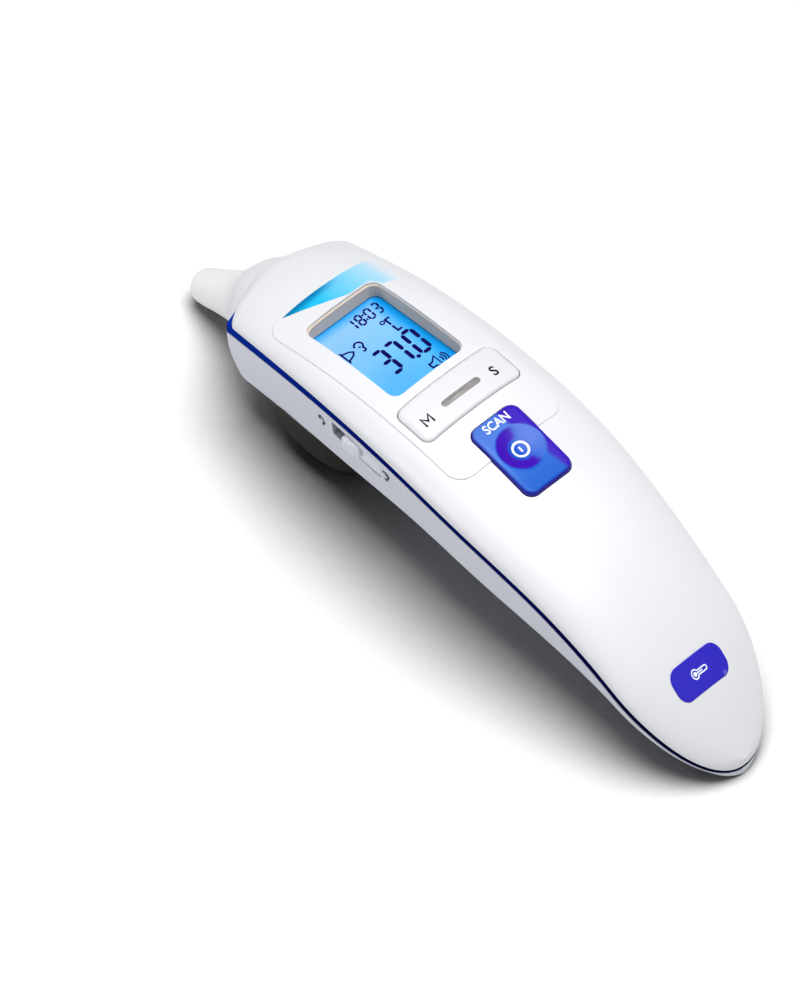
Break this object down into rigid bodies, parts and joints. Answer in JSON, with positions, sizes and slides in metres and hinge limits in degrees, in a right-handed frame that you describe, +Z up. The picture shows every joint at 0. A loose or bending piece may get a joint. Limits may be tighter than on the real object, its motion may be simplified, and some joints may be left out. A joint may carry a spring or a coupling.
{
  "type": "digital ear thermometer",
  "caption": "Curved hand-held infrared ear thermometer: ear probe, backlit display, menu rocker, scan button, side mode switch, lift-off battery door and dark rear foot.",
  "frame": {"origin": "middle of the flat under the rear pod, where the thermometer stands on a table", "axes": "+Z up out of the table, +X from the probe towards the tail, -Y the side with the mode switch"},
  "size_m": [0.1594, 0.0389, 0.0441],
  "materials": {
    "shell_white": "satin white moulded ABS with a soft gloss",
    "shell_grey": "pale lavender grey moulded ABS, fine satin grain",
    "trim_navy": "glossy navy accent strip",
    "panel_white": "glossy white inlaid panel",
    "accent_cyan": "printed cyan film fading to white, darker blue along its arched edge",
    "pod_charcoal": "charcoal soft-touch plastic",
    "insert_grey": "satin grey metal-look insert",
    "badge_blue": "deep blue raised badge",
    "button_blue": "translucent bright blue to indigo gloss",
    "bezel_grey": "warm grey recess frame",
    "lcd": "backlit blue liquid-crystal display",
    "backlight": "clear light guide",
    "board_green": "solder-masked circuit board",
    "black_plastic": "black moulded plastic",
    "cell_steel": "nickel-plated steel",
    "contact_gold": "plated spring contact",
    "copper_flex": "orange polyimide flex",
    "wire_red": "red insulated lead",
    "elastomer": "conductive elastomer strip",
    "ir_window": "dark infrared window"
  },
  "bodies": {
    "case": {"front_shell": "shell_white", "rear_shell": "shell_grey", "trim_band": "trim_navy", "face_panel": "panel_white", "accent_inlay": "accent_cyan", "probe_cone": "shell_white", "rear_pod": "pod_charcoal", "tail_badge": "badge_blue", "display_bezel": "bezel_grey", "lcd_glass": "lcd", "backlight_guide": "backlight", "lcd_connector": "elastomer", "main_board": "board_green", "scan_tact_switch": "black_plastic", "memory_tact_switch": "black_plastic", "set_tact_switch": "black_plastic", "controller_chip": "black_plastic", "sensor_amplifier": "black_plastic", "buzzer": "black_plastic", "mode_switch_body": "black_plastic", "coin_cell": "cell_steel", "cell_holder": "black_plastic", "contact_plus": "contact_gold", "contact_minus": "contact_gold", "sensor_window": "ir_window", "sensor_sleeve": "contact_gold", "thermopile_can": "cell_steel", "sensor_lead": "copper_flex", "battery_lead": "wire_red", "case_screw_1": "cell_steel", "case_screw_2": "cell_steel", "case_screw_3": "cell_steel"},
    "scan_button": {"scan_button": "button_blue"},
    "menu_rocker": {"menu_rocker": "shell_white", "rocker_insert": "insert_grey"},
    "mode_switch": {"mode_switch_knob": "shell_white"},
    "battery_door": {"battery_door": "shell_grey"}
  },
  "joints": [
    {"name": "scan_press", "type": "slide", "parent": "case", "child": "scan_button", "axis": [-0.1495, 0, -0.9888], "range_m": [0, 0.0006], "stiffness_N_per_m": 900},
    {"name": "rocker_tilt", "type": "hinge", "parent": "case", "child": "menu_rocker", "pos_m": [0.03, 0, 0.042], "axis": [1, 0, 0], "range_deg": [-2.2, 2.2], "stiffness_Nm_per_rad": 0.35},
    {"name": "mode_slide", "type": "slide", "parent": "case", "child": "mode_switch", "axis": [-1, 0, 0], "range_m": [0, 0.0036]},
    {"name": "door_lift", "type": "slide", "parent": "case", "child": "battery_door", "axis": [-0.2334, 0, -0.9724], "range_m": [0, 0.035]}
  ]
}
